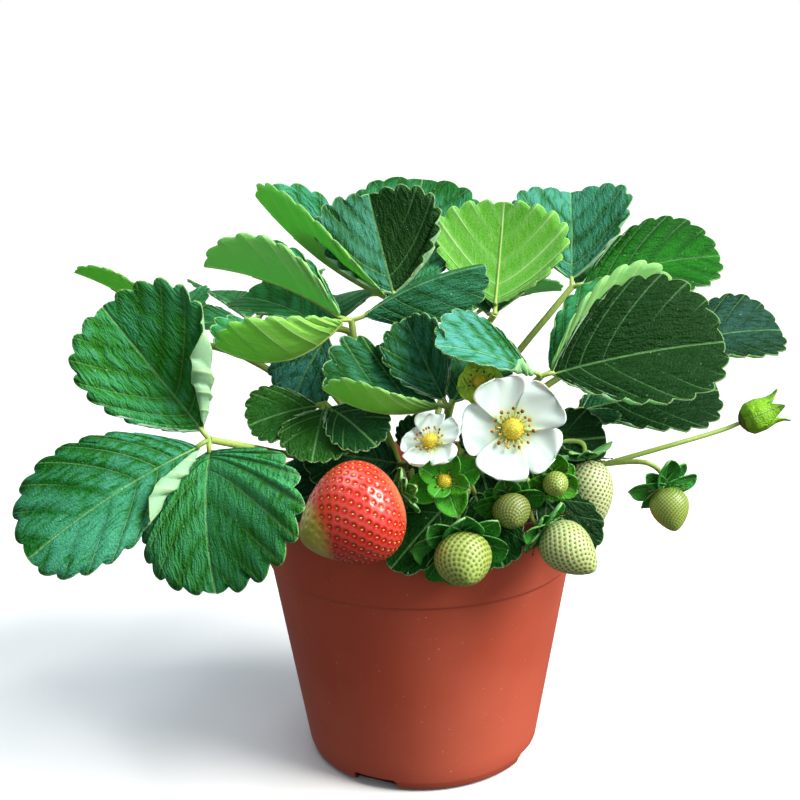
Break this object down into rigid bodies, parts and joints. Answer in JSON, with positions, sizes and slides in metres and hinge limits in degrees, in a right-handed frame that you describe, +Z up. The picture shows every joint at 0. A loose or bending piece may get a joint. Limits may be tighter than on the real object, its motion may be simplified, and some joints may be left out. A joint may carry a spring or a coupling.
{
  "type": "potted strawberry plant",
  "caption": "Strawberry plant with three-part toothed leaves, white flowers, one ripe and several green berries, in a tapered plastic nursery pot with a collar.",
  "frame": {"origin": "centre of the flat underside of the pot's foot", "axes": "+Z up out of the pot; -Y the plant's front, where its flowers and berries hang; +X to the right seen from the front"},
  "size_m": [0.2604, 0.2148, 0.2082],
  "materials": {
    "pot_plastic": "satin brick-red injection-moulded plastic",
    "soil": "matt dark damp peat",
    "crown_bark": "matt, brown and fibrous",
    "leaf": "semi-gloss deep green with sunken veins, paler and matt underneath",
    "stalk": "satin yellow-green with fine pale hairs",
    "ripe_flesh": "glossy red with pale pits and golden seeds",
    "unripe_flesh": "satin yellow-green with brown-green seeds",
    "petal": "soft white, slightly translucent",
    "flower_centre": "matt golden yellow with brown anthers"
  },
  "bodies": {
    "root": {"pot": "pot_plastic", "soil": "soil", "crown": "crown_bark", "leaf_front_left": "leaf", "leaf_left": "leaf", "leaf_top": "leaf", "leaf_low": "leaf", "leaf_bright": "leaf", "leaf_right": "leaf", "leaf_back_right": "leaf", "leaf_far_right": "leaf", "leaf_low_right": "leaf", "leaf_middle": "leaf", "leaf_low_left": "leaf", "leaf_hanging": "leaf", "leaf_back_left": "leaf", "leaf_back": "leaf", "truss_front": "stalk", "truss_right": "stalk", "truss_left": "stalk", "berry_ripe": "ripe_flesh", "berry_front": "unripe_flesh", "berry_front_right": "unripe_flesh", "berry_small": "unripe_flesh", "berry_tiny": "unripe_flesh", "berry_pale": "unripe_flesh", "berry_far_right": "unripe_flesh", "flower_front_petals": "petal", "flower_front_centre": "flower_centre", "flower_side_petals": "petal", "flower_side_centre": "flower_centre", "spent_flower_centre": "flower_centre"}
  },
  "joints": []
}
